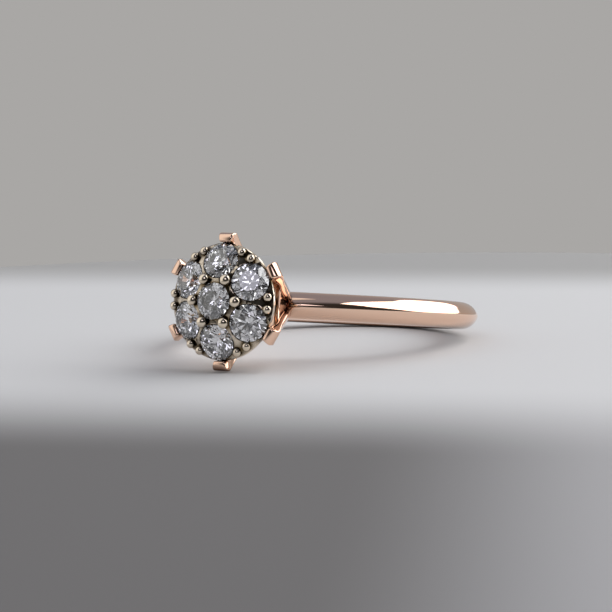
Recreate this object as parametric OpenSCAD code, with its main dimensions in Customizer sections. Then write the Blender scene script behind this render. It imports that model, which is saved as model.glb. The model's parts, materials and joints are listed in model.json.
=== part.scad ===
// Cluster ring: a plain rose-gold band, a six-clawed basket, and a domed white-gold cup that
// holds seven round brilliants. The ring lies on its side, on its lowest claw and the far side
// of the band. Millimetres, +Z up, the head towards -Y.

/* [Band] */
// Inside diameter of the finger hole
finger_d = 16.9; // [15.5:0.1:18.5]
// Thickness of the band, from the finger to the crest of its back
band_t = 1.55; // [1.5:0.05:1.9]
// Width of the band along the finger
band_w = 1.78; // [1.7:0.02:1.9]

/* [Stones] */
// Diameter of the middle stone
centre_d = 2.35; // [2.2:0.01:2.35]
// Diameter of each outer stone
outer_d = 2.42; // [2.3:0.01:2.42]
// Distance of the outer stones from the middle of the head
outer_r = 2.60; // [2.6:0.01:2.62]
// Lean of the outer stones away from the middle one
outer_lean = 22; // [20:0.5:23]
// Height of the middle stone's girdle above the crest of the band
centre_h = 4.50; // [4.48:0.01:4.55]
// Height of the outer stones' girdles above the crest of the band
outer_h = 3.83; // [3.8:0.01:3.85]
// Width of the table as a share of the stone
table_share = 0.57; // [0.53:0.01:0.6]
// Slope of the crown facets
crown_angle = 34.5; // [33:0.5:35]
// Slope of the pavilion facets
pavilion_angle = 40.75; // [40:0.25:41]

/* [Cup] */
// Outer radius of the cup
cup_r = 3.72; // [3.72:0.01:3.74]
// Radius of the six beads round the middle stone
inner_bead_r = 0.36; // [0.3:0.01:0.36]
// Distance of those beads from the middle of the head
inner_bead_at = 1.58; // [1.56:0.01:1.6]
// Height of those beads above the crest of the band
inner_bead_h = 4.52; // [4.5:0.01:4.6]
// Radius of the twelve beads at the rim
rim_bead_r = 0.28; // [0.25:0.01:0.28]
// Distance of the rim beads from the middle of the head
rim_bead_at = 3.46; // [3.45:0.01:3.47]
// Height of the rim beads above the crest of the band
rim_bead_h = 3.64; // [3.6:0.01:3.7]
// Angle of each rim bead from the middle of its gap
rim_bead_turn = 6.5; // [6.2:0.1:6.6]

/* [Basket] */
// Radius of the flat outer faces of the claws at their tips
claw_r = 4.40; // [4.35:0.01:4.5]
// Radius of the inner faces of the claws beside the cup
claw_in_r = 3.78; // [3.78:0.01:3.82]
// Width of a claw at its outer face
claw_w = 1.16; // [1:0.02:1.2]
// Width of a claw at its inner face
claw_in_w = 0.84; // [0.7:0.02:0.9]
// Height of the claw tips above the crest of the band
claw_h = 3.50; // [3.45:0.01:3.55]
// Height at which the flat outer face of a claw ends
claw_face_h = 2.55; // [2.5:0.05:2.7]
// Thickness of a leg below its claw
leg_t = 0.50; // [0.4:0.02:0.5]
// Radius of the six straight rails between the legs
rail_r = 2.92; // [2.85:0.01:3]
// Height of those rails above the crest of the band
rail_h = 1.20; // [1.1:0.05:1.3]
// Radius of the flat sides of the basket's bowl, just under the rails
bowl_r = 2.72; // [2.6:0.02:2.8]

/* [Hidden] */

rose_gold = [0.80, 0.57, 0.45];
white_gold = [0.76, 0.74, 0.70];
diamond = [0.84, 0.87, 0.92];

// Stones: the girdle's height and the inner tips of the star and lower girdle facets, as shares
// of the diameter and of the radius, and how far each stone is turned in its seat.
girdle_share = 0.026;
star_share = 0.76;
lower_share = 0.23;
centre_turn = 22.5;
outer_turns = [7, 0, -7, 16, 22.5, -16];

claws = 6;
claw_step = 360 / claws;
first_claw = 30;
finger_r = finger_d / 2;
crest_r = finger_r + band_t;
fine = 96;

// Band: a pointed back of two arcs with a narrow flat along its crest, and inner edges eased
// for the finger. Each arc is centred beyond the band's middle plane.
back_r = 1.19;
back_off = back_r - band_w / 2;
crest_half = 0.10;
back_at = crest_r - sqrt(pow(back_r, 2) - pow(back_off + crest_half, 2));
ease = 0.16;
side_half = sqrt(pow(back_r, 2) - pow(back_at - finger_r - ease, 2)) - back_off;

// Cup: a domed body with a thin rim, a flat ledge under the rim, and a hollow behind the stones.
seat_gap = 0.04;
dome_r = 6.20;
dome_h = 4.52;
ledge_h = 3.08;
ledge_r = 3.46;
cup_low_h = 2.50;
cup_low_r = 2.95;
hollow_r = 2.70;
hollow_h = 3.15;
collet_wall = 0.13;
collet_drop = 0.10;
collet_from = 0.30;
window_r = 0.50;
clear_h = 2;
post_r = 0.24;
post_depth = 0.50;

// Basket: six legs that run together onto the band, tied by rails round a tapered bowl. Each
// leg has a row for each section, with its height, the radius of its outer face, its thickness,
// its width and its turn. The legs beside the band lean towards its middle plane, and the legs
// above and below it run straight down to its sides.
shelf_r = 3.52;
waist_h = 1.95;
side_leg = [[claw_face_h, claw_r, claw_r - shelf_r, 1.08, 30],
            [waist_h, 3.87, leg_t, 1.00, 27],
            [rail_h, 3.52, leg_t, 0.90, 24],
            [0.30, 3.15, leg_t, 0.75, 17.5],
            [-0.95, 2.60, leg_t, 0.64, 9]];
cross_leg = [[claw_face_h, claw_r, claw_r - shelf_r, 1.08, 90],
             [waist_h, 3.80, leg_t, 1.00, 90],
             [rail_h, 3.08, leg_t, 0.90, 90],
             [0.30, 2.10, leg_t, 0.80, 90],
             [-0.95, 0.86, leg_t, 0.70, 90]];
slice = 0.01;
rail_high = 0.22;
rail_wide = 0.50;
rail_reach = 2.95;
bowl_low_h = -0.60;
bowl_low = [4.90, 0.90];
bowl_in_r = 2.32;
bowl_in_h = 0.15;
bowl_in_low = [3.80, 0.50];
tip_round = 0.16;
tip_steps = 5;
tip_fall = 0.08;
reach = 20;

// Rest: the plane of the band rises towards the head, from the far side of the band to the
// back corner of the lowest claw's flat face.
claw_contact_y = -(crest_r + claw_face_h);
corner_d = norm([back_at - claw_contact_y, back_off + claw_r]);
rest_tilt = atan2(back_off + claw_r, back_at - claw_contact_y) - asin(back_r / corner_d);
rest_z = back_r + back_at * sin(rest_tilt) - back_off * cos(rest_tilt);

// The foremost points are the two lower inner beads, the rearmost is the back of the band.
front_bead_y = -(crest_r + inner_bead_h);
front_bead_z = -inner_bead_at * sin(2 * first_claw);
front_y = front_bead_y * cos(rest_tilt) + front_bead_z * sin(rest_tilt) - inner_bead_r;
rear_y = crest_r * cos(rest_tilt) + crest_half * sin(rest_tilt);
rest_y = -(front_y + rear_y) / 2;

// Lays the ring on its side and stands it on the floor, centred over the origin.
module at_rest() {
    translate([0, rest_y, rest_z]) rotate([-rest_tilt, 0, 0]) children();
}

// The head's own axes: +Z is out of the finger, and zero is the crest of the band.
module on_head() {
    at_rest() rotate([90, 0, 0]) translate([0, 0, crest_r]) children();
}

// Stands a side outline, drawn as radius and height, at an angle round the head.
module side_slab(turn, width) {
    rotate([0, 0, turn]) rotate([90, 0, 0]) linear_extrude(width, center = true) children();
}

module band() {
    rotate_extrude($fn = 2 * fine) {
        intersection() {
            translate([back_at, back_off]) circle(back_r, $fn = fine);
            translate([back_at, -back_off]) circle(back_r, $fn = fine);
            translate([finger_r + ease, -band_w]) square([band_t - ease, 2 * band_w]);
        }
        polygon([[finger_r, -side_half + ease], [finger_r + ease, -side_half],
                 [finger_r + ease, side_half], [finger_r, side_half - ease]]);
    }
}

// Side outline of one claw: a rounded tip, a flat outer face, and a notch inside for the rim of
// the cup.
module claw_outline() {
    nose = [claw_r - tip_round, claw_h - tip_fall - tip_round];
    round_tip = [for (i = [0:tip_steps]) let (a = 90 - 90 * i / tip_steps)
        nose + tip_round * [cos(a), sin(a)]];
    polygon(concat([[claw_in_r, claw_h]], round_tip,
                   [[claw_r, claw_face_h], [shelf_r, claw_face_h], [shelf_r, ledge_h], [claw_in_r, ledge_h]]));
}

// Top view of one claw, wider outside than in.
module claw_plan() {
    polygon([[1, -claw_in_w / 2], [claw_in_r, -claw_in_w / 2], [claw_r + 0.1, -claw_w / 2],
             [claw_r + 0.1, claw_w / 2], [claw_in_r, claw_in_w / 2], [1, claw_in_w / 2]]);
}

module claw(turn) {
    intersection() {
        side_slab(turn, 2 * claw_w) claw_outline();
        rotate([0, 0, turn]) linear_extrude(claw_h + 1) claw_plan();
    }
}

// The four corners of a leg at one row. Its turn is counted from the base angle, either way.
function leg_corners(row, base, way) = let (turn = base + way * row[4])
    [for (corner = [[0, 1], [0, -1], [-1, -1], [-1, 1]])
        let (r = row[1] + corner[0] * row[2], side = way * corner[1] * row[3] / 2)
        [r * cos(turn) - side * sin(turn), r * sin(turn) + side * cos(turn), row[0]]];

// One leg, drawn through its rows from the claw down into the band.
module leg(rows, base, way) {
    last = 4 * (len(rows) - 1);
    points = [for (row = rows) each leg_corners(row, base, way)];
    faces = concat(
        [[0, 1, 2, 3], [last + 3, last + 2, last + 1, last]],
        [for (low = [0:4:last - 4], i = [0:3]) [low + (i + 1) % 4, low + i, low + i + 4]],
        [for (low = [0:4:last - 4], i = [0:3]) [low + (i + 1) % 4, low + i + 4, low + (i + 1) % 4 + 4]]);
    turned_over = [for (face = faces) [for (i = [len(face) - 1:-1:0]) face[i]]];
    polyhedron(points, way > 0 ? faces : turned_over);
}

// A six-sided plate with its flat sides at a radius.
module six_sided(flat_r, high) {
    rotate([0, 0, first_claw]) cylinder(h = high, r = flat_r / cos(first_claw), $fn = claws);
}

// A thin bar that lies along the band, at a height.
module bar(size, h) {
    translate([0, 0, h]) cube([size[0], size[1], slice], center = true);
}

// The six straight rails, trimmed behind the legs above and below the band.
module rails() {
    translate([0, 0, rail_h - rail_high / 2]) intersection() {
        difference() {
            six_sided(rail_r, rail_high);
            translate([0, 0, -1]) six_sided(rail_r - rail_wide, rail_high + 2);
        }
        cube([reach, 2 * rail_reach, 2], center = true);
    }
}

// The bowl tapers from six sides under the rails to a narrow bar on the band, and is hollow.
module bowl() {
    difference() {
        hull() {
            translate([0, 0, rail_h]) six_sided(bowl_r, slice);
            bar(bowl_low, bowl_low_h);
        }
        hull() {
            translate([0, 0, rail_h + slice]) six_sided(bowl_in_r, slice);
            bar(bowl_in_low, bowl_in_h);
        }
    }
}

module band_with_basket() {
    color(rose_gold) {
        at_rest() band();
        on_head() {
            bowl();
            rails();
            for (i = [0:claws - 1]) claw(first_claw + i * claw_step);
            for (base = [0, 180], way = [-1, 1]) leg(side_leg, base, way);
            for (way = [-1, 1]) leg(cross_leg, 0, way);
        }
    }
}

// Puts a stone, its seat or its collet where that stone is set.
module at_outer(i) {
    rotate([0, 0, first_claw + i * claw_step]) translate([outer_r, 0, outer_h])
        rotate([0, outer_lean, 0]) children();
}

module at_centre() {
    translate([0, 0, centre_h]) children();
}

// The room that a stone needs in the cup: its girdle, its pavilion and a window behind it.
module seat(d) {
    r = d / 2 + seat_gap;
    depth = r * tan(pavilion_angle);
    low = -girdle_share * d / 2;
    translate([0, 0, low]) cylinder(h = clear_h, r = r, $fn = fine);
    translate([0, 0, low - depth]) cylinder(h = depth, r1 = 0, r2 = r, $fn = fine);
    translate([0, 0, low - depth / 2 - clear_h]) cylinder(h = clear_h, r = window_r, $fn = fine);
}

module cup_body() {
    intersection() {
        translate([0, 0, dome_h - dome_r]) sphere(dome_r, $fn = 2 * fine);
        rotate_extrude($fn = fine)
            polygon([[0, hollow_h], [hollow_r, cup_low_h], [cup_low_r, cup_low_h], [ledge_r, ledge_h],
                     [cup_r, ledge_h], [cup_r, dome_h + 1], [0, dome_h + 1]]);
    }
}

// The short wall of metal round the outer half of each outer stone, kept inside the claws.
module collets() {
    intersection() {
        for (i = [0:claws - 1]) at_outer(i) translate([0, 0, -1]) intersection() {
            cylinder(h = 1 - collet_drop, r = outer_d / 2 + collet_wall, $fn = fine);
            translate([collet_from, -reach / 2, -1]) cube([reach, reach, 3]);
        }
        translate([0, 0, ledge_h]) cylinder(h = 2, r = cup_r, $fn = fine);
    }
}

module bead_post(at, turn, h, bead_r) {
    rotate([0, 0, turn]) translate([at, 0, h]) {
        sphere(bead_r, $fn = 48);
        translate([0, 0, -post_depth]) cylinder(h = post_depth, r = post_r, $fn = 48);
    }
}

module cluster_cup() {
    color(white_gold) on_head() {
        difference() {
            union() {
                cup_body();
                collets();
            }
            at_centre() seat(centre_d);
            for (i = [0:claws - 1]) at_outer(i) seat(outer_d);
        }
        for (i = [0:claws - 1]) {
            gap = i * claw_step;
            bead_post(inner_bead_at, gap, inner_bead_h, inner_bead_r);
            bead_post(rim_bead_at, gap - rim_bead_turn, rim_bead_h, rim_bead_r);
            bead_post(rim_bead_at, gap + rim_bead_turn, rim_bead_h, rim_bead_r);
        }
    }
}

// A round brilliant with its girdle at zero: table, 8 stars, 8 kites, 16 upper and 16 lower
// girdle facets, and 8 mains down to the culet.
module brilliant(d) {
    r = d / 2;
    half_girdle = girdle_share * d / 2;
    crown_h = r * (1 - table_share) * tan(crown_angle);
    pavilion_h = r * tan(pavilion_angle);
    star_r = star_share * r;
    star_h = crown_h * (1 - (star_r * cos(22.5) / r - table_share) / (1 - table_share));
    lower_r = lower_share * r;
    lower_h = pavilion_h * (1 - lower_r * cos(22.5) / r);
    ring8 = [0:7];
    ring16 = [0:15];
    points = concat(
        [for (i = ring8) [r * table_share * cos(45 * i), r * table_share * sin(45 * i), half_girdle + crown_h]],
        [for (i = ring8) [star_r * cos(45 * i + 22.5), star_r * sin(45 * i + 22.5), half_girdle + star_h]],
        [for (j = ring16) [r * cos(22.5 * j), r * sin(22.5 * j), half_girdle]],
        [for (j = ring16) [r * cos(22.5 * j), r * sin(22.5 * j), -half_girdle]],
        [for (i = ring8) [lower_r * cos(45 * i + 22.5), lower_r * sin(45 * i + 22.5), -half_girdle - lower_h]],
        [[0, 0, -half_girdle - pavilion_h]]);
    star = 8;
    top = 16;
    low = 32;
    mid = 48;
    culet = 56;
    faces = concat(
        [[for (i = [7:-1:0]) i]],
        [for (i = ring8) [i, (i + 1) % 8, star + i]],
        [for (i = ring8) [i, star + i, top + 2 * i, star + (i + 7) % 8]],
        [for (i = ring8) [star + i, top + 2 * i + 1, top + 2 * i]],
        [for (i = ring8) [star + i, top + (2 * i + 2) % 16, top + 2 * i + 1]],
        [for (j = ring16) [top + j, top + (j + 1) % 16, low + (j + 1) % 16, low + j]],
        [for (i = ring8) [mid + i, low + 2 * i, low + 2 * i + 1]],
        [for (i = ring8) [mid + i, low + 2 * i + 1, low + (2 * i + 2) % 16]],
        [for (i = ring8) [culet, mid + (i + 7) % 8, low + 2 * i, mid + i]]);
    polyhedron(points, faces);
}

module centre_stone() {
    color(diamond) on_head() at_centre() rotate([0, 0, centre_turn]) brilliant(centre_d);
}

module outer_stone(i) {
    color(diamond) on_head() at_outer(i) rotate([0, 0, outer_turns[i]]) brilliant(outer_d);
}

band_with_basket();
cluster_cup();
centre_stone();
outer_stone(0);  // outer_stone_1
outer_stone(1);  // outer_stone_2
outer_stone(2);  // outer_stone_3
outer_stone(3);  // outer_stone_4
outer_stone(4);  // outer_stone_5
outer_stone(5);  // outer_stone_6
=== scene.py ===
# %% [markdown]
# # A cluster ring on its side
#
# The ring has a thin rose-gold band, a basket with six claws, and a domed white-gold cup with
# seven round brilliants held by small beads. The solid parts come packed in one frame. This
# lesson builds finer metal round them, gives each metal and the stones their real finish, and
# lights the ring as a small studio would.

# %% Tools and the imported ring
import json
import math

import bmesh
import bpy
from mathutils import Matrix, Vector


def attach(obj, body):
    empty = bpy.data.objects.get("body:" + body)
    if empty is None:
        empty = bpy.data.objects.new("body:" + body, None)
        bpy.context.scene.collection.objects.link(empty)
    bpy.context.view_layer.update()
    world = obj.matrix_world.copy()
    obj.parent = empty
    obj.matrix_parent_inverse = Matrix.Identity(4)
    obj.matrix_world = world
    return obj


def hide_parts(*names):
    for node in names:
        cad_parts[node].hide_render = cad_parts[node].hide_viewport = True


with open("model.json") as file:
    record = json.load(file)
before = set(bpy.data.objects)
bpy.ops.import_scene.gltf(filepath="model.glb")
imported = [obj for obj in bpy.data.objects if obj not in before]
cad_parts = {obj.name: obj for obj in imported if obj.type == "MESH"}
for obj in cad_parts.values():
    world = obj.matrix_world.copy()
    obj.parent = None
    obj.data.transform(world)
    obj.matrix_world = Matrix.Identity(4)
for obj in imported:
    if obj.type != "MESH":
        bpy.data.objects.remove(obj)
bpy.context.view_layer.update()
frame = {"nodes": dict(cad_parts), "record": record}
MM = 0.001

# %% [markdown]
# ## Where the ring lies
#
# The ring rests on its lowest claw and the far edge of its band, so the band's axis leans back a
# little. The metal could be drawn in that tilted place, but every number would be awkward then.
# So it is drawn in axes of its own, and one move lays it down. The record states the finger hole
# with its middle, its axis and its radius, which is all that the move needs. The head has axes of
# its own too: +Z points out of the finger, and zero is at the top of the band.

# %% Axes of the band and of the head
finger_hole = frame["record"]["mounts"][0]
hole_middle = Vector(finger_hole["pos_m"])
hole_axis = Vector(finger_hole["axis"])
lean = math.atan2(hole_axis.y, hole_axis.z)
finger_r = finger_hole["dims"]["r_mm"]
band_thick = 1.55
crest_r = finger_r + band_thick
band_axes = Matrix.Translation(hole_middle) @ Matrix.Rotation(-lean, 4, "X")
head_axes = band_axes @ Matrix.Rotation(math.pi / 2, 4, "X") @ Matrix.Translation((0, 0, crest_r * MM))
print("lean of the ring, degrees:", round(math.degrees(lean), 2), "crest radius, mm:", crest_r)

# %% [markdown]
# ## Making a mesh
#
# A goldsmith turns a part on the lathe or files it to a section. Blender could do the first with
# a Screw modifier. Here a short function turns the section instead, because it closes the mesh
# exactly on the axis, which the Boolean steps further down need.

# %% Meshes from points and from a section
ON_AXIS = 1e-6


def make_piece(name, points, faces, axes):
    """A closed mesh from points in millimetres, standing in the axes it is drawn in."""
    mesh = bpy.data.meshes.new(name)
    mesh.from_pydata([[MM * c for c in p] for p in points], [], faces)
    mesh.validate()
    obj = bpy.data.objects.new(name, mesh)
    bpy.context.scene.collection.objects.link(obj)
    obj.matrix_world = axes
    return obj


def turned(name, section, axes, steps=96):
    """Turns a section of (radius, height) points round the axis. Points on the axis close it."""
    points, rings = [], []
    for radius, height in section:
        if radius < ON_AXIS:
            rings.append([len(points)] * steps)
            points.append((0, 0, height))
            continue
        rings.append(list(range(len(points), len(points) + steps)))
        for i in range(steps):
            a = 2 * math.pi * i / steps
            points.append((radius * math.cos(a), radius * math.sin(a), height))
    faces = []
    for low, high in zip(rings, rings[1:] + rings[:1]):
        if low[0] == low[1] and high[0] == high[1]:
            continue
        for i in range(steps):
            j = (i + 1) % steps
            corners = [low[i], low[j], high[j], high[i]]
            faces.append([c for k, c in enumerate(corners) if c not in corners[:k]])
    return make_piece(name, points, faces, axes)


print("mesh makers: make_piece, turned")

# %% [markdown]
# A mesh needs its faces to look outwards, or a Boolean takes the inside for the outside. The next
# helper turns them all out at once, and first joins points that lie on one another.

# %% Faces that look outwards
SAME_PLACE = 1e-8


def outward(obj):
    """Joins points that coincide and turns all faces to look out of the body."""
    shape = bmesh.new()
    shape.from_mesh(obj.data)
    bmesh.ops.remove_doubles(shape, verts=shape.verts, dist=SAME_PLACE)
    bmesh.ops.recalc_face_normals(shape, faces=shape.faces)
    shape.to_mesh(obj.data)
    shape.free()
    return obj


print("joined within, m:", SAME_PLACE)

# %% [markdown]
# ## Solder and burs
#
# Solder joins bodies and a bur cuts them. Both are Boolean modifiers here. The Manifold solver
# was chosen because it is quick and keeps closed bodies closed, which a mesh made by hand with
# extruded faces would not promise. Each result is applied at once, so the next step starts plain.

# %% Joining and cutting
def settle(obj):
    """Applies the modifiers, so that the next step starts from a plain mesh."""
    graph = bpy.context.evaluated_depsgraph_get()
    mesh = bpy.data.meshes.new_from_object(obj.evaluated_get(graph))
    obj.modifiers.clear()
    before = obj.data
    obj.data = mesh
    bpy.data.meshes.remove(before)
    return obj


def work(body, tools, operation):
    """Joins tools to a body, or cuts them from it, then clears the tools away."""
    for tool in tools:
        step = body.modifiers.new(operation, "BOOLEAN")
        step.operation = operation
        step.solver = "MANIFOLD"
        step.object = tool
    bpy.context.view_layer.update()
    settle(body)
    for tool in tools:
        bpy.data.objects.remove(tool)
    return body


print("bench tools: settle, work")

# %% [markdown]
# ## The polishing wheel
#
# A wheel rounds every sharp edge of a cast or filed part. A shader could fake that with a bevelled
# normal, but a Bevel modifier gives the real rounding, which also shows in the outline. Without it
# the edges of the metal would catch no light, and the ring would look drawn instead of made.

# %% Rounded edges
def smooth(obj, sharp=30):
    """Smooth shading, with hard lines left where faces meet at more than an angle."""
    obj.data.shade_smooth()
    obj.data.set_sharp_from_angle(angle=math.radians(sharp))
    return obj


def soften(obj, width, sharp=30, segments=2, clamp=False):
    """Rounds the edges that are sharper than an angle, and shades the rest smoothly."""
    bevel = obj.modifiers.new("polished edges", "BEVEL")
    bevel.width = width * MM
    bevel.segments = segments
    bevel.limit_method = "ANGLE"
    bevel.angle_limit = math.radians(sharp)
    bevel.use_clamp_overlap = clamp
    settle(obj)
    return smooth(obj, sharp)


print("polishing tools: smooth, soften")

# %% [markdown]
# ## The band
#
# The band is a thin wire, rolled with a soft ridge round its back and eased on the inside for the
# finger. The ridge splits the light: above it the band mirrors the room, below it the table. It
# could be a Bezier circle with a bevel object, but the highlight on it shows the least error of
# the section. So the arcs of the section are worked out exactly, where each runs smoothly into
# the next, and the section is turned once round the finger's axis.

# %% Sizes of the band
band_wide = 1.78
back_r = 1.19
back_off = back_r - band_wide / 2
ridge_r = 0.40
ridge_at = crest_r - ridge_r
ridge_out = math.sqrt((back_r - ridge_r) ** 2 - back_off ** 2)
back_at = ridge_at - ridge_out
inner_ease = 0.16
ease_points, back_points, ridge_points = 6, 24, 10
print("the band's side arc has its middle at radius, mm:", round(back_at, 3))

# %% [markdown]
# Only the upper half of the section is drawn: a quarter round at the finger, the long arc of the
# side, then the small arc of the ridge. Its mirror image is the lower half, so both edges of the
# band are sure to be alike.

# %% Band
def band_section():
    """The upper half from the inner wall round the back to the ridge, then its mirror image."""
    start = math.acos((finger_r + inner_ease - back_at) / back_r)
    meet = math.atan2(back_off, ridge_out)
    side_half = back_r * math.sin(start) - back_off
    upper = [(finger_r, side_half - inner_ease)]
    for i in range(1, ease_points):
        a = math.pi / 2 * i / ease_points
        radius = finger_r + inner_ease * (1 - math.cos(a))
        upper.append((radius, side_half - inner_ease * (1 - math.sin(a))))
    for i in range(back_points + 1):
        a = start + (meet - start) * i / back_points
        upper.append((back_at + back_r * math.cos(a), back_r * math.sin(a) - back_off))
    for i in range(1, ridge_points):
        a = meet * (1 - i / ridge_points)
        upper.append((ridge_at + ridge_r * math.cos(a), ridge_r * math.sin(a)))
    lower = [(radius, -height) for radius, height in reversed(upper)]
    return upper + [(crest_r, 0)] + lower


band = turned("band", band_section(), band_axes, steps=384)
outward(band)
smooth(band, sharp=50)
print("band:", len(band.data.polygons), "faces")

# %% [markdown]
# ## The basket
#
# Six legs carry the head. They run together from the claws down onto the band, and straight rails
# tie them half way up. The real one is sawn and filed from sheet and wire, then soldered. A leg
# could be a curve with a bevel, but its section changes on the way, so it is drawn through a few
# sections instead. A row gives the height of a section, the radius of its outer face, its
# thickness, its width and its turn round the head.

# %% Sizes of the claws and legs
claw_turns = [30 + 60 * i for i in range(6)]
claw_r, claw_in_r = 4.40, 3.78
claw_in_wide, claw_wide = 0.84, 1.116
face_h, ledge_h, shelf_r = 2.85, 3.08, 3.52
claw_deep = claw_r - shelf_r
leg_thick = 0.50
rail_h = 1.20
side_leg = [
    (face_h, claw_r, claw_deep, claw_wide, 30),
    (1.95, 3.87, leg_thick, 1.00, 27),
    (rail_h, 3.52, leg_thick, 0.90, 24),
    (0.30, 3.15, leg_thick, 0.75, 17.5),
    (-0.95, 2.60, leg_thick, 0.64, 9),
]
cross_leg = [
    (face_h, claw_r, claw_deep, claw_wide, 90),
    (2.20, 3.80, leg_thick, 1.00, 90),
    (1.35, 3.08, leg_thick, 0.90, 90),
    (0.30, 2.10, leg_thick, 0.80, 90),
    (-0.95, 0.86, leg_thick, 0.70, 90),
]
print("rows in a side leg:", len(side_leg), "and in a cross leg:", len(cross_leg))

# %% [markdown]
# Straight pieces between the rows would show as kinks in the polished metal. A Catmull-Rom curve
# goes through every row and bends evenly between them, as a filed leg does. It needs nothing but
# the rows themselves, so it was chosen over a Bezier curve with handles to place.

# %% Sections between the rows
def smooth_rows(rows, steps):
    """Rows on a smooth curve through the given rows, with some steps between each two."""
    padded = [rows[0]] + list(rows) + [rows[-1]]
    made = []
    for before, start, end, after in zip(padded, padded[1:], padded[2:], padded[3:]):
        for i in range(steps):
            t = i / steps
            row = []
            for p, q, r, s in zip(before, start, end, after):
                bend = (2 * p - 5 * q + 4 * r - s) * t ** 2 + (3 * q - p - 3 * r + s) * t ** 3
                row.append(q + 0.5 * ((r - p) * t + bend))
            made.append(row)
    made.append(list(rows[-1]))
    return made


leg_steps = 6
print("sections in a leg:", len(smooth_rows(side_leg, leg_steps)))

# %% [markdown]
# A claw is the flat tab at the top of its leg. Its end is rounded over with a file, its outer face
# is wider than its inner one, and a notch inside takes the rim of the cup. The list gives the side
# view of the rounded end as radius and height. Each section has six corners, and the kink between
# the outer and the inner face keeps the claw's taper in the leg below it.

# %% Side view of a claw and section of a leg
claw_tip = [(3.78, 3.41), (3.80, 3.455), (3.84, 3.485), (3.92, 3.50), (4.02, 3.495), (4.12, 3.475),
            (4.21, 3.44), (4.29, 3.385), (4.345, 3.32), (4.38, 3.24), (4.40, 3.14)]
face_share = (claw_r - claw_in_r) / claw_deep
claw_spread = (claw_wide - claw_in_wide) / (claw_r - claw_in_r)
corners_round = 6


def placed(r, side, height, turn):
    """A point at a radius and a sideways offset, turned round the head by an angle."""
    a = math.radians(turn)
    return (r * math.cos(a) - side * math.sin(a), r * math.sin(a) + side * math.cos(a), height)


def section_points(row, base, hand):
    """Six corners of a leg's section: outer, at the kink and inner on one side, then back."""
    height, radius, thick, wide, turn = row
    narrow = min(wide, claw_in_wide)
    kink_r = radius - face_share * thick
    half = [(radius, wide / 2), (kink_r, narrow / 2), (radius - thick, narrow / 2)]
    ring = half + [(r, -side) for r, side in reversed(half)]
    return [placed(r, side, height, base + hand * turn) for r, side in ring]


print("share of the claw's depth that tapers:", round(face_share, 3))

# %% [markdown]
# Claw and leg could be two bodies joined by a Boolean, but their faces nearly coincide, and such a
# joint leaves slivers that a bevel turns into spikes. So they are one mesh. First come the
# sections of the leg, joined into a skin. Then the claw's side view gets its width, narrow inside
# and wide outside, and its faces are closed onto the topmost section.

# %% Claws with their legs
def leg_skin(rows, base, hand):
    """Points of all sections of a leg, and the faces between them and at the foot."""
    points, faces = [], []
    for row in smooth_rows(rows, leg_steps):
        points += section_points(row, base, hand)
    last = len(points) - corners_round
    for low in range(0, last, corners_round):
        for i in range(corners_round):
            j = (i + 1) % corners_round
            high = low + corners_round
            faces.append((low + i, low + j, high + j, high + i))
    faces.append(tuple(range(last, last + corners_round)))
    return points, faces


def leg_body(rows, base, hand):
    """A claw and its leg. The leg's turns are counted from the base angle, either way round."""
    points, faces = leg_skin(rows, base, hand)
    sides = []
    for side in (1, -1):
        sides.append(len(points))
        for r, h in claw_tip + [(shelf_r, ledge_h), (claw_in_r, ledge_h)]:
            half = side * (claw_in_wide + claw_spread * max(0, r - claw_in_r)) / 2
            points.append(placed(r, half, h, base + hand * rows[0][4]))
    tips = len(claw_tip)
    shelf, notch = tips, tips + 1
    for first, (outer, kink, inside) in zip(sides, ((0, 1, 2), (5, 4, 3))):
        faces.append(tuple(first + i for i in range(tips)) + (outer, kink, first + notch))
        faces.append((kink, inside, first + shelf, first + notch))
    one, two = sides
    for i in range(tips - 1):
        faces.append((one + i, one + i + 1, two + i + 1, two + i))
    faces.append((one + tips - 1, 0, 5, two + tips - 1))
    faces.append((one + notch, one, two, two + notch))
    faces.append((one + shelf, one + notch, two + notch, two + shelf))
    faces.append((2, one + shelf, two + shelf, 3))
    return outward(make_piece("leg", points, faces, head_axes))


legs = [leg_body(side_leg, base, hand) for base in (0, 180) for hand in (-1, 1)]
legs += [leg_body(cross_leg, 0, hand) for hand in (-1, 1)]
claw_rounding = 0.12
for leg in legs:
    soften(leg, claw_rounding, sharp=40, segments=4)
print("legs with their claws:", len(legs), "with", len(legs[0].data.polygons), "faces each")

# %% [markdown]
# Under the rails the space between the legs is closed by a thin tapered bowl. Seen as a body, it
# is the tightest skin round six corners under the rails and four corners on the band, and
# bmesh's convex hull makes just that from the corners alone. It is hollow, so light goes in
# through the gap under the cup and comes back a deep orange.

# %% Bowl
def hull_body(name, points):
    """The tightest closed body round some points."""
    shape = bmesh.new()
    for p in points:
        shape.verts.new([MM * c for c in p])
    bmesh.ops.convex_hull(shape, input=shape.verts)
    mesh = bpy.data.meshes.new(name)
    shape.to_mesh(mesh)
    shape.free()
    obj = bpy.data.objects.new(name, mesh)
    bpy.context.scene.collection.objects.link(obj)
    obj.matrix_world = head_axes
    return outward(obj)


def six_corners(flat_r, height):
    """Corners of a hexagon with its flat sides at a radius."""
    corner_r = flat_r / math.cos(math.radians(30))
    return [placed(corner_r, 0, height, turn) for turn in claw_turns]


def four_corners(long, wide, height):
    """Corners of a rectangle that lies along the band."""
    return [(x * long / 2, y * wide / 2, height) for x in (-1, 1) for y in (-1, 1)]


bowl_r, bowl_in_r = 2.72, 2.58
bowl_foot, bowl_foot_h = (4.90, 0.90), -0.60
bowl_floor, bowl_floor_h = (4.50, 0.60), 0.10
open_top = 0.02
basket = hull_body("basket", six_corners(bowl_r, rail_h) + four_corners(*bowl_foot, bowl_foot_h))
hollow_corners = six_corners(bowl_in_r, rail_h + open_top) + four_corners(*bowl_floor, bowl_floor_h)
work(basket, [hull_body("hollow", hollow_corners)], "DIFFERENCE")
print("bowl:", len(basket.data.polygons), "faces")

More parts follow.
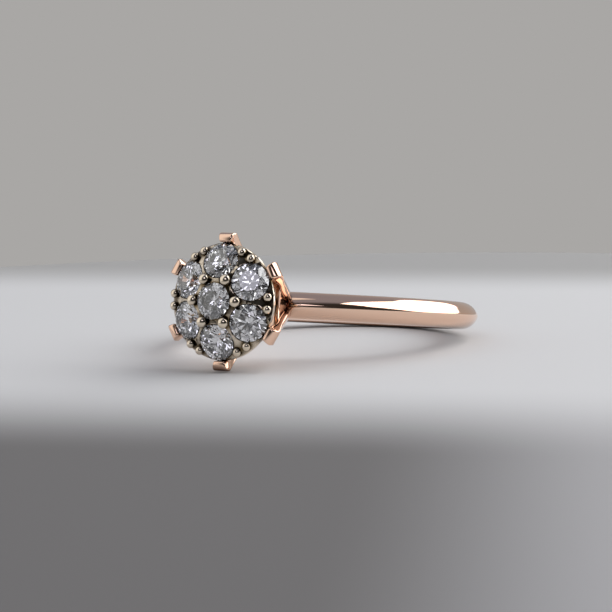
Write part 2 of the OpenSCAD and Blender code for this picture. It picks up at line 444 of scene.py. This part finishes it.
# %% [markdown]
# The rails are one hexagonal hoop. It is cut from a hexagonal plate with a smaller hexagon and
# trimmed at the two sides where it would show past the legs. Then all is soldered into one body.
# This last bevel is clamped, because a free one overshoots where many small faces meet.

# %% Rails, and the basket in one piece
rail_r, rail_high, rail_wide, rail_reach = 2.92, 0.22, 0.30, 2.95
past = 1
trim_long = 20
rail_low, rail_top = rail_h - rail_high / 2, rail_h + rail_high / 2
rails = hull_body("rails", six_corners(rail_r, rail_low) + six_corners(rail_r, rail_top))
rail_in_r = rail_r - rail_wide
inside_corners = six_corners(rail_in_r, rail_low - past) + six_corners(rail_in_r, rail_top + past)
work(rails, [hull_body("inside", inside_corners)], "DIFFERENCE")
trim_wide = 2 * rail_reach
trim_corners = four_corners(trim_long, trim_wide, rail_low - past)
trim_corners += four_corners(trim_long, trim_wide, rail_top + past)
work(rails, [hull_body("trim", trim_corners)], "INTERSECT")
work(basket, [rails] + legs, "UNION")
basket_rounding = 0.03
soften(basket, basket_rounding, sharp=40, clamp=True)
print("basket:", len(basket.data.polygons), "faces")

# %% [markdown]
# ## The cup
#
# The cup is turned to a low dome with a thin rim and has a shallow hollow beneath. A UV sphere
# cut with planes could make it too, but a turned section gives the dome, the rim and the ledge
# for the claws in one closed body. The outer stones lean outwards, so the axes of their seats do.

# %% Cup before the stones go in
centre_d, outer_d = 2.35, 2.42
outer_at, outer_lean = 2.60, 22
centre_h, outer_h = 4.50, 3.83
cup_r, ledge_r = 3.72, 3.46
cup_low_r, cup_low_h = 2.95, 2.50
dome_r, dome_h = 6.20, 4.52
hollow_r, hollow_h = 2.70, 3.15
dome_points = 40
cup_steps = 192


def at_outer(turn):
    """Axes of an outer stone: turned to its claw, out to its place, and leaning outwards."""
    spin = Matrix.Rotation(math.radians(turn), 4, "Z")
    place = Matrix.Translation((outer_at * MM, 0, outer_h * MM))
    return head_axes @ spin @ place @ Matrix.Rotation(math.radians(outer_lean), 4, "Y")


def cup_blank():
    """The cup before the stones go in, with its hollow underside and the ledge for the claws."""
    section = [(0, hollow_h), (hollow_r, cup_low_h), (cup_low_r, cup_low_h)]
    section += [(ledge_r, ledge_h), (cup_r, ledge_h)]
    for i in range(dome_points + 1):
        radius = cup_r * (1 - i / dome_points)
        section.append((radius, dome_h - dome_r + math.sqrt(dome_r ** 2 - radius ** 2)))
    return outward(turned("cup", section, head_axes, steps=cup_steps))


cup = cup_blank()
print("cup before the stones:", len(cup.data.polygons), "faces")

# %% [markdown]
# A short wall of metal, the collet, goes round the outer half of each outer seat and keeps the
# stone's edge from being chipped. It is a turned cylinder on the stone's own leaning axis. A box
# keeps its outer half, and a disc over the cup keeps it within the rim.

# %% Collets
collet_wall, collet_drop, collet_from = 0.13, 0.10, 0.30
collet_foot = -1
seat_steps = 128
keep_out, keep_up = 5, 3
limit_top = 4.60
box_faces = [(0, 1, 3, 2), (4, 6, 7, 5), (0, 4, 5, 1), (2, 3, 7, 6), (0, 2, 6, 4), (1, 5, 7, 3)]


def collet(turn):
    """The wall round the outer half of a seat, kept within the cup's rim."""
    wall_r = outer_d / 2 + collet_wall
    section = [(0, collet_foot), (wall_r, collet_foot), (wall_r, -collet_drop), (0, -collet_drop)]
    wall = turned("collet", section, at_outer(turn), steps=seat_steps)
    corners = [(x, y, z) for x in (collet_from, keep_out) for y in (-keep_out, keep_out)
               for z in (-keep_up, keep_up)]
    half = make_piece("half", corners, box_faces, at_outer(turn))
    disc = [(0, ledge_h), (cup_r, ledge_h), (cup_r, limit_top), (0, limit_top)]
    limit = turned("limit", disc, head_axes, steps=cup_steps)
    return work(outward(wall), [outward(half), outward(limit)], "INTERSECT")


work(cup, [collet(turn) for turn in claw_turns], "UNION")
print("cup with six collets:", len(cup.data.polygons), "faces")

# %% [markdown]
# Each seat is cut with a bur that has the shape of the stone's lower half: straight at the
# girdle, then a cone, then a round window through the back that lets light and water through.
# Cutting with a turned body is what the setter does, so the same order of work is used here.

# %% Seats for the stones
girdle_share = 0.026
pavilion = math.radians(40.75)
seat_gap = 0.04
window_r = 0.50
past_cup = 2
cup_rounding = 0.015


def seat_bur(d, axes):
    """The room for one stone: straight at the girdle, then a cone, then a window behind."""
    r = d / 2 + seat_gap
    low = -girdle_share * d / 2
    depth = r * math.tan(pavilion)
    neck = low - depth * (1 - window_r / r)
    foot = low - depth / 2 - past_cup
    section = [(0, foot), (window_r, foot), (window_r, neck), (r, low), (r, past_cup), (0, past_cup)]
    return outward(turned("bur", section, axes, steps=seat_steps))


burs = [seat_bur(outer_d, at_outer(turn)) for turn in claw_turns]
burs.append(seat_bur(centre_d, head_axes @ Matrix.Translation((0, 0, centre_h * MM))))
work(cup, burs, "DIFFERENCE")
soften(cup, cup_rounding)
print("cup with seven seats:", len(cup.data.polygons), "faces")

# %% [markdown]
# ## The beads
#
# A bead is the rounded end of a post, raised between the stones and burnished over their edges
# with a cup-shaped tool. A plain UV sphere would look like a ball laid on the metal. The tool
# leaves a low dome with a full, round side and a small neck under it, so that section is turned.
# Six larger beads stand round the centre stone, and twelve smaller ones on the rim.

# %% Section of a bead
inner_bead_r, rim_bead_r = 0.36, 0.28
post_r, post_depth = 0.24, 0.50
bead_fullness, bead_flatness = 0.55, 0.55
side_points, cap_points = 16, 12


def bead_section(radius):
    """From the foot of the post up round the full side, then over the low cap to the axis."""
    side_r = bead_fullness * radius
    side_at = radius - side_r
    cap_low = bead_flatness * radius
    cap_r = side_r + math.hypot(side_at, cap_low)
    section = [(0, -post_depth), (post_r, -post_depth)]
    start = -math.acos(max(-1, min(1, (post_r - side_at) / side_r)))
    meet = math.atan2(cap_low, side_at)
    for i in range(side_points + 1):
        a = start + (meet - start) * i / side_points
        section.append((side_at + side_r * math.cos(a), side_r * math.sin(a)))
    for i in range(1, cap_points + 1):
        a = meet + (math.pi / 2 - meet) * i / cap_points
        r = cap_r * math.cos(a) if i < cap_points else 0
        section.append((r, cap_r * math.sin(a) - cap_low))
    return section


print("points in the section of a bead:", len(bead_section(inner_bead_r)))

# %% [markdown]
# The tool is held square to the dome, so each bead leans outwards a little. The twelve beads of
# the rim stand in pairs, one on each side of the line between two outer stones.

# %% Beads on their posts
bead_lean = 8
inner_bead_at, inner_bead_h = 1.58, 4.52
rim_bead_at, rim_bead_h, rim_bead_turn = 3.46, 3.64, 6.5


def bead(name, at, turn, height, radius):
    """A bead on its post, turned in one piece, the post's foot buried in the cup."""
    a = math.radians(turn)
    place = Matrix.Translation((at * math.cos(a) * MM, at * math.sin(a) * MM, height * MM))
    place = place @ Matrix.Rotation(a, 4, "Z") @ Matrix.Rotation(math.radians(bead_lean), 4, "Y")
    made = turned(name, bead_section(radius), head_axes @ place, steps=64)
    return smooth(outward(made), sharp=40)


beads = []
for i in range(6):
    gap = 60 * i
    number = i + 1
    beads.append(bead("inner_bead_%d" % number, inner_bead_at, gap, inner_bead_h, inner_bead_r))
    for side, turn in (("a", gap - rim_bead_turn), ("b", gap + rim_bead_turn)):
        name = "rim_bead_%d%s" % (number, side)
        beads.append(bead(name, rim_bead_at, turn, rim_bead_h, rim_bead_r))
print("beads:", len(beads))

# %% [markdown]
# ## Colours and nodes
#
# Colours are written as they look on a screen, which is easy to pick and to compare, and turned
# to linear light by one function, because Blender mixes light in linear numbers. A second small
# function adds a node, makes its settings and fills or links its inputs, so that each finish
# below reads from top to bottom like its node tree from left to right.

# %% Colour and node helpers
def linear(code):
    """A screen colour such as #C0A080 as linear red, green, blue and alpha."""
    values = [int(code[i:i + 2], 16) / 255 for i in (1, 3, 5)]
    return [v / 12.92 if v <= 0.04045 else ((v + 0.055) / 1.055) ** 2.4 for v in values] + [1.0]


def node(tree, kind, inputs=None, **settings):
    """Adds a node, makes its settings, and fills or links its inputs."""
    made = tree.nodes.new(kind)
    for name, value in settings.items():
        setattr(made, name, value)
    for key, value in (inputs or {}).items():
        if isinstance(value, bpy.types.NodeSocket):
            tree.links.new(value, made.inputs[key])
        else:
            made.inputs[key].default_value = value
    return made


def blank_material(name):
    """A material with no nodes yet."""
    material = bpy.data.materials.new(name)
    material.use_nodes = True
    material.node_tree.nodes.clear()
    return material


MIX_A, MIX_B, MIX_OUT = 6, 7, 2
print("mid grey in linear light:", round(linear("#808080")[0], 3))

# %% [markdown]
# ## Polished rose gold
#
# The band and the basket are 14 carat rose gold, which is gold with much copper, polished with
# rouge. The eye sees its surroundings mirrored in pinkish orange, so the material is a full metal
# with a low roughness and the default IOR. Real hairlines are far too fine to show. They are drawn
# 0.9 mm apart, as a faint change of gloss. Between the legs and in the bowl the colour is painted
# darker, as painted shade, where an Ambient Occlusion node finds the metal closed in.

# %% Rose gold
rose_gold = blank_material("polished_rose_gold")
tree = rose_gold.node_tree
hairline_size = 0.9 * MM
rose_gloss, rose_dull = 0.05, 0.09
rose_shade_reach = 2.2 * MM
place = node(tree, "ShaderNodeTexCoord")
hairlines = node(tree, "ShaderNodeTexNoise", {
    "Vector": place.outputs["Object"], "Scale": 1 / hairline_size, "Detail": 3.0})
sheen = node(tree, "ShaderNodeMapRange", {
    "Value": hairlines.outputs["Fac"], "From Min": 0.3, "From Max": 0.7,
    "To Min": rose_gloss, "To Max": rose_dull})
# Painted shade: the colour runs from #6E4A35 where the metal is closed in to #F9D3BA where it is open.
shade_ao = node(tree, "ShaderNodeAmbientOcclusion", {"Distance": rose_shade_reach}, samples=8)
openness = node(tree, "ShaderNodeMapRange", {
    "Value": shade_ao.outputs["AO"], "From Min": 0.15, "From Max": 0.75})
tone = node(tree, "ShaderNodeMix", {
    "Factor": openness.outputs["Result"], MIX_A: linear("#6E4A35"), MIX_B: linear("#F9D3BA")},
    data_type="RGBA")
metal = node(tree, "ShaderNodeBsdfPrincipled", {
    "Base Color": tone.outputs[MIX_OUT], "Metallic": 1.0, "Roughness": sheen.outputs["Result"]})
node(tree, "ShaderNodeOutputMaterial", {"Surface": metal.outputs["BSDF"]})
print("finish:", rose_gold.name)

# %% [markdown]
# ## Burnished white gold
#
# The beads are 14 carat white gold without rhodium plating, so they keep a warm champagne tint.
# The beading tool burnishes each to a mirror, with marks that are drawn at 0.3 mm to show at all.
# The foot of each bead is painted darker within a millimetre, as painted shade where it meets the cup.

# %% White gold of the beads
white_gold = blank_material("burnished_white_gold")
tree = white_gold.node_tree
burnish_size = 0.3 * MM
bead_gloss, bead_dull = 0.04, 0.09
bead_shade_reach = 1.0 * MM
place = node(tree, "ShaderNodeTexCoord")
burnish = node(tree, "ShaderNodeTexNoise", {
    "Vector": place.outputs["Object"], "Scale": 1 / burnish_size, "Detail": 2.0})
sheen = node(tree, "ShaderNodeMapRange", {
    "Value": burnish.outputs["Fac"], "From Min": 0.3, "From Max": 0.7,
    "To Min": bead_gloss, "To Max": bead_dull})
# Painted shade: the colour runs from #463A28 round the foot to #EEDFCA where the bead is open.
shade_ao = node(tree, "ShaderNodeAmbientOcclusion", {"Distance": bead_shade_reach}, samples=8)
openness = node(tree, "ShaderNodeMapRange", {
    "Value": shade_ao.outputs["AO"], "From Min": 0.60, "From Max": 0.95})
tone = node(tree, "ShaderNodeMix", {
    "Factor": openness.outputs["Result"], MIX_A: linear("#463A28"), MIX_B: linear("#EEDFCA")},
    data_type="RGBA")
metal = node(tree, "ShaderNodeBsdfPrincipled", {
    "Base Color": tone.outputs[MIX_OUT], "Metallic": 1.0, "Roughness": sheen.outputs["Result"]})
node(tree, "ShaderNodeOutputMaterial", {"Surface": metal.outputs["BSDF"]})
print("finish:", white_gold.name)

# %% [markdown]
# ## White gold cut with a graver
#
# Between the stones the setter trims the metal with a graver. Each stroke leaves a bright facet
# about half a millimetre long with a tilt of its own. Modelling hundreds of them would cost many
# faces for very little, so the cells of a Voronoi texture tilt the surface the same way. The
# narrow lands between the stones are painted dark and a little olive, as painted shade.

# %% Tilt of the graver's cuts
cut_gold = blank_material("graver_cut_white_gold")
tree = cut_gold.node_tree
cut_size = 0.55 * MM
cut_tilt = 0.45
place = node(tree, "ShaderNodeTexCoord")
cuts = node(tree, "ShaderNodeTexVoronoi", {"Vector": place.outputs["Object"], "Scale": 1 / cut_size})
either_way = node(tree, "ShaderNodeVectorMath", {
    0: cuts.outputs["Color"], 1: (0.5, 0.5, 0.5)}, operation="SUBTRACT")
tilt = node(tree, "ShaderNodeVectorMath", {
    0: either_way.outputs[0], "Scale": cut_tilt}, operation="SCALE")
surface = node(tree, "ShaderNodeNewGeometry")
tilted = node(tree, "ShaderNodeVectorMath", {
    0: surface.outputs["Normal"], 1: tilt.outputs[0]}, operation="ADD")
facing = node(tree, "ShaderNodeVectorMath", {0: tilted.outputs[0]}, operation="NORMALIZE")
print("graver cuts, mm:", cut_size / MM)

# %% [markdown]
# The cut gold is less glossy than a burnished bead, so its roughness is 0.10 all over. Its colour
# is painted shade, darker where less of the room is open to it within a millimetre.

# %% White gold of the cup
land_shade_reach = 1.0 * MM
# Painted shade: the colour runs from #66563D in the narrow lands to #F3E5D2 where the metal is open.
shade_ao = node(tree, "ShaderNodeAmbientOcclusion", {"Distance": land_shade_reach}, samples=8)
openness = node(tree, "ShaderNodeMapRange", {
    "Value": shade_ao.outputs["AO"], "From Min": 0.78, "From Max": 1.0})
tone = node(tree, "ShaderNodeMix", {
    "Factor": openness.outputs["Result"], MIX_A: linear("#66563D"), MIX_B: linear("#F3E5D2")},
    data_type="RGBA")
metal = node(tree, "ShaderNodeBsdfPrincipled", {
    "Base Color": tone.outputs[MIX_OUT], "Metallic": 1.0, "Roughness": 0.10,
    "Normal": facing.outputs[0]})
node(tree, "ShaderNodeOutputMaterial", {"Surface": metal.outputs["BSDF"]})
print("finish:", cut_gold.name)

# %% [markdown]
# ## Cut diamond
#
# Diamond has an index of 2.417, far above that of glass. Light that goes in at the top is thrown
# back by the lower facets, and the eye sees bright and dark patches. The facets are polished flat
# on an oiled iron wheel, so the roughness is zero and no pattern is needed. A faked sparkle could
# be painted on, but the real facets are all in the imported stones, so the light finds them itself.

# %% Diamond
diamond = blank_material("cut_diamond")
tree = diamond.node_tree
diamond_ior = 2.417
gem = node(tree, "ShaderNodeBsdfPrincipled", {
    "Base Color": linear("#FDFDFF"), "Transmission Weight": 1.0, "IOR": diamond_ior, "Roughness": 0.0})
node(tree, "ShaderNodeOutputMaterial", {"Surface": gem.outputs["BSDF"]})
print("finish:", diamond.name)

# %% [markdown]
# ## Pieces and their finishes
#
# Band and basket stand in for the imported rose-gold solid, cup and beads for the white-gold one.
# Each piece rides on the ring's one body, and the imported solid it stands in for is hidden. The
# stones keep their imported meshes, as flat facets can't be made any finer, and get only a finish.

# %% Finishes on their pieces
def dress(obj, finish, packed):
    """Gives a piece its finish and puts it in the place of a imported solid."""
    obj.data.materials.clear()
    obj.data.materials.append(finish)
    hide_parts(packed)
    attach(obj, "root")


for obj in (band, basket):
    dress(obj, rose_gold, "band_with_basket")
dress(cup, cut_gold, "cluster_cup")
for obj in beads:
    dress(obj, white_gold, "cluster_cup")
stones = [obj for name, obj in frame["nodes"].items() if "stone" in name]
for obj in stones:
    obj.data.materials.clear()
    obj.data.materials.append(diamond)
print("stones:", len(stones))

# %% [markdown]
# ## Directions round the ring
#
# Floor, lights and camera are all placed by directions from the middle of the head, as a
# photographer would point at them. Angles are easier to judge in a picture than coordinates, so
# one function turns an azimuth and a height into a direction.

# %% Directions round the ring
head_middle = head_axes @ Vector((0, 0, centre_h * MM))
camera_azimuth, camera_height, camera_roll = 31.70, 7.13, -1.98


def direction(azimuth, height):
    """A unit vector from the ring: azimuth 0 is towards -Y and 90 towards +X, in degrees."""
    a, e = math.radians(azimuth), math.radians(height)
    return Vector((math.sin(a) * math.cos(e), -math.cos(a) * math.cos(e), math.sin(e)))


print("middle of the head, mm:", [round(v / MM, 2) for v in head_middle])

# %% [markdown]
# ## The floor
#
# The ring lies on a plain matt table. A plane would do for this camera, but from other sides its
# thin edge would show. So the floor is a thick disc, turned from a section with a rounded edge,
# just wide enough for the ring's shadow and the fades of its colour.

# %% Floor
floor_r, floor_deep, floor_edge = 80, 8, 3.0
floor_ahead = 12
edge_points = 12
floor_middle = head_middle + direction(camera_azimuth, 0) * floor_ahead * MM
section = [(0, -floor_deep), (floor_r, -floor_deep), (floor_r, -floor_edge)]
for i in range(1, edge_points + 1):
    a = math.pi / 2 * i / edge_points
    section.append((floor_r - floor_edge + floor_edge * math.cos(a),
                    -floor_edge + floor_edge * math.sin(a)))
section.append((0, 0))
floor_axes = Matrix.Translation((floor_middle.x, floor_middle.y, 0))
floor = turned("floor", section, floor_axes, steps=192)
smooth(outward(floor), sharp=40)
print("floor:", 2 * floor_r, "mm across")

# %% [markdown]
# Matt paper has no gloss to speak of, so its roughness is high. Its front falls away into shade,
# which is lighter on the right, and its back fades into the wall, so that no line cuts the
# picture behind the ring. Light and haze could do that too, but they would light the ring as
# well. So the fades are plain colours, laid in straight bands over the disc.

# %% Finish of the floor
paper = blank_material("matt_floor")
tree = paper.node_tree
place = node(tree, "ShaderNodeTexCoord")
paper_rough = 0.9


def along(way, begin, end):
    """Fades from 0 to 1 along a direction, between two distances from the head in millimetres."""
    start = (head_middle - floor_middle).dot(way)
    far = node(tree, "ShaderNodeVectorMath", {
        0: place.outputs["Object"], 1: way}, operation="DOT_PRODUCT")
    return node(tree, "ShaderNodeMapRange", {
        "Value": far.outputs["Value"], "From Min": start + begin * MM, "From Max": start + end * MM},
        interpolation_type="SMOOTHSTEP")


rightward = along(direction(116.2, 0), 10, 28)
shaded = node(tree, "ShaderNodeMix", {
    "Factor": rightward.outputs["Result"], MIX_A: linear("#6F6D6D"), MIX_B: linear("#AFAEB0")},
    data_type="RGBA")
forward = along(direction(14, 0), 4, 30)
front = node(tree, "ShaderNodeMix", {
    "Factor": forward.outputs["Result"], MIX_A: linear("#D9D9DA"), MIX_B: shaded.outputs[MIX_OUT]},
    data_type="RGBA")
backward = along(direction(193.7, 0), 41, 57)
shades = node(tree, "ShaderNodeMix", {
    "Factor": backward.outputs["Result"], MIX_A: front.outputs[MIX_OUT], MIX_B: linear("#ABAAA9")},
    data_type="RGBA")
matt = node(tree, "ShaderNodeBsdfPrincipled", {
    "Base Color": shades.outputs[MIX_OUT], "Roughness": paper_rough})
node(tree, "ShaderNodeOutputMaterial", {"Surface": matt.outputs["BSDF"]})
floor.data.materials.append(paper)
print("finish:", paper.name)

# %% [markdown]
# ## Lights
#
# Polished metal shows what stands round it, so the shape of a light matters more than its place.
# Area lights come only as rectangles and ellipses. A glowing sheet can have any outline, so the
# lights are sheets, far from the ring. The large one behind on the right draws the long highlight on the
# band. The small one in front lights the tops of the stones and puts a small three-cornered glint
# on each bead. The camera doesn't see the sheets themselves.

# %% Glowing sheets
def sheet(name, corners, distance, strength, tint):
    """A glowing sheet, invisible itself, with its corners at these directions from the head."""
    points = [Vector((0, 0, 0))] + [direction(a, h) * distance for a, h in corners]
    points[0] = sum(points[1:], Vector()) / len(corners)
    count = len(corners)
    faces = [(0, 1 + i, 1 + (i + 1) % count) for i in range(count)]
    made = make_piece(name, points, faces, Matrix.Translation(head_middle))
    glow = blank_material(name)
    light = node(glow.node_tree, "ShaderNodeEmission", {"Color": linear(tint), "Strength": strength})
    node(glow.node_tree, "ShaderNodeOutputMaterial", {"Surface": light.outputs["Emission"]})
    made.data.materials.append(glow)
    made.visible_camera = False
    return made


sheet_away = 600
big_strength, small_strength = 2.6, 2.0
big_window = [(57, 62), (75, 68), (100, 71), (120, 68), (135, 65), (150, 60), (163, 53), (175, 47),
              (183, 42), (189, 34), (190, 27), (188, 22), (179, 19), (167, 17), (158, 10), (150, 3),
              (140, 0), (112, 0), (100, 5), (91, 22), (86, 36), (75, 52)]
small_window = [(4, 18), (31, 27), (4, 42)]
sheet("big_window", big_window, sheet_away, big_strength, "#FFFFFF")
sheet("small_window", small_window, sheet_away, small_strength, "#F2F0FF")
print("sheets with", len(big_window), "and", len(small_window), "corners")

# %% [markdown]
# ## The room
#
# The rest of the room is painted on the world, which costs hardly any time to render. In front of the
# ring it is nearly black, as a photographer in dark clothes is, and that dark shape in the metal
# is what makes gold look polished. The first nodes turn each direction into an angle round the
# room and a height, and measure how far it is from the middle of that dark part.

# %% Dark part of the room
studio = bpy.data.worlds.new("studio")
bpy.context.scene.world = studio
studio.use_nodes = True
tree = studio.node_tree
tree.nodes.clear()
dark_azimuth, dark_height = 46, 18
dark_half_wide, dark_half_high = 80, 50
dark_until, lit_from = 0.75, 1.15
sight = node(tree, "ShaderNodeTexCoord")
spun = node(tree, "ShaderNodeMapping", {
    "Vector": sight.outputs["Generated"], "Rotation": (0, 0, math.radians(90 - dark_azimuth))},
    vector_type="POINT")
parts = node(tree, "ShaderNodeSeparateXYZ", {"Vector": spun.outputs["Vector"]})
around = node(tree, "ShaderNodeMath", {
    0: parts.outputs["Y"], 1: parts.outputs["X"]}, operation="ARCTAN2")
above = node(tree, "ShaderNodeMath", {0: parts.outputs["Z"]}, operation="ARCSINE")
wide = node(tree, "ShaderNodeMath", {
    0: around.outputs[0], 1: math.radians(dark_half_wide)}, operation="DIVIDE")
risen = node(tree, "ShaderNodeMath", {
    0: above.outputs[0], 1: math.radians(-dark_height)}, operation="ADD")
tall = node(tree, "ShaderNodeMath", {
    0: risen.outputs[0], 1: math.radians(dark_half_high)}, operation="DIVIDE")
both = node(tree, "ShaderNodeCombineXYZ", {"X": wide.outputs[0], "Y": tall.outputs[0]})
away = node(tree, "ShaderNodeVectorMath", {0: both.outputs[0]}, operation="LENGTH")
lit = node(tree, "ShaderNodeMapRange", {
    "Value": away.outputs["Value"], "From Min": dark_until, "From Max": lit_from},
    interpolation_type="SMOOTHSTEP")
print("dark part of the room:", 2 * dark_half_wide, "by", 2 * dark_half_high, "degrees")

# %% [markdown]
# Three colours go over one another: a grey wall that turns darker and bluer overhead, a pale wall
# far round to the left that lights the beads and the stones, and the dark part in front. The
# angles of the pale wall are counted from the middle of the dark part.

# %% Colours of the room
wall_until, overhead_from = 0.1, 0.9
pale_near, pale_full, pale_fade, pale_end = -62, -80, -125, -150
climb = node(tree, "ShaderNodeMapRange", {
    "Value": parts.outputs["Z"], "From Min": wall_until, "From Max": overhead_from},
    interpolation_type="SMOOTHSTEP")
wall = node(tree, "ShaderNodeMix", {
    "Factor": climb.outputs["Result"], MIX_A: linear("#A9A7A5"), MIX_B: linear("#898E9C")},
    data_type="RGBA")
pale_begins = node(tree, "ShaderNodeMapRange", {
    "Value": around.outputs[0], "From Min": math.radians(pale_near),
    "From Max": math.radians(pale_full)}, interpolation_type="SMOOTHSTEP")
pale_ends = node(tree, "ShaderNodeMapRange", {
    "Value": around.outputs[0], "From Min": math.radians(pale_end),
    "From Max": math.radians(pale_fade)}, interpolation_type="SMOOTHSTEP")
pale = node(tree, "ShaderNodeMath", {
    0: pale_begins.outputs["Result"], 1: pale_ends.outputs["Result"]}, operation="MULTIPLY")
walls = node(tree, "ShaderNodeMix", {
    "Factor": pale.outputs[0], MIX_A: wall.outputs[MIX_OUT], MIX_B: linear("#F4F3F1")},
    data_type="RGBA")
whole = node(tree, "ShaderNodeMix", {
    "Factor": lit.outputs["Result"], MIX_A: linear("#303030"), MIX_B: walls.outputs[MIX_OUT]},
    data_type="RGBA")
glow = node(tree, "ShaderNodeBackground", {"Color": whole.outputs[MIX_OUT], "Strength": 1.0})
node(tree, "ShaderNodeOutputWorld", {"Surface": glow.outputs["Background"]})
print("world:", studio.name)

# %% [markdown]
# ## The camera
#
# A long lens close to the table, as for a catalogue picture. The camera looks past the head, so
# that the head stands left of the middle, and it is rolled by two degrees, as a camera held in the
# hand is. A Track To constraint would aim it at the head and lose both. So its three axes are
# worked out from the direction of the head and its place in the picture, in pixels.

# %% Camera
picture = 612
focal = 3986.0
sensor = 36
camera_away = 252
head_left, head_up = 92.69, 5.08
near, far = 10 * MM, 2
back = direction(camera_azimuth, camera_height)
level = direction(camera_azimuth + 90, 0)
up = back.cross(level)
roll = math.radians(camera_roll)
across = level * math.cos(roll) + up * math.sin(roll)
upward = up * math.cos(roll) - level * math.sin(roll)
ahead = (-back + across * (head_left / focal) - upward * (head_up / focal)).normalized()
right = ahead.cross(upward).normalized()
top = right.cross(ahead)
camera_data = bpy.data.cameras.new("camera")
camera_data.sensor_width = sensor
camera_data.lens = focal / picture * sensor
camera_data.clip_start = near
camera_data.clip_end = far
camera = bpy.data.objects.new("camera", camera_data)
bpy.context.scene.collection.objects.link(camera)
stance = Matrix((right, top, -ahead)).transposed().to_4x4()
camera.matrix_world = Matrix.Translation(head_middle + back * camera_away * MM) @ stance
bpy.context.scene.camera = camera
print("lens, mm:", round(camera_data.lens, 1))

# %% [markdown]
# The plain view transform keeps the colours as they were chosen. Light may pass many facets
# inside a stone before it leaves, and too few bounces would end it there and leave black holes in
# the stones. So the number of bounces is raised.

# %% View and bounces
bpy.context.scene.view_settings.view_transform = "Standard"
bpy.context.scene.cycles.max_bounces = 24
bpy.context.scene.cycles.transmission_bounces = 20
bpy.context.scene.cycles.glossy_bounces = 8
print("bounces:", bpy.context.scene.cycles.max_bounces)
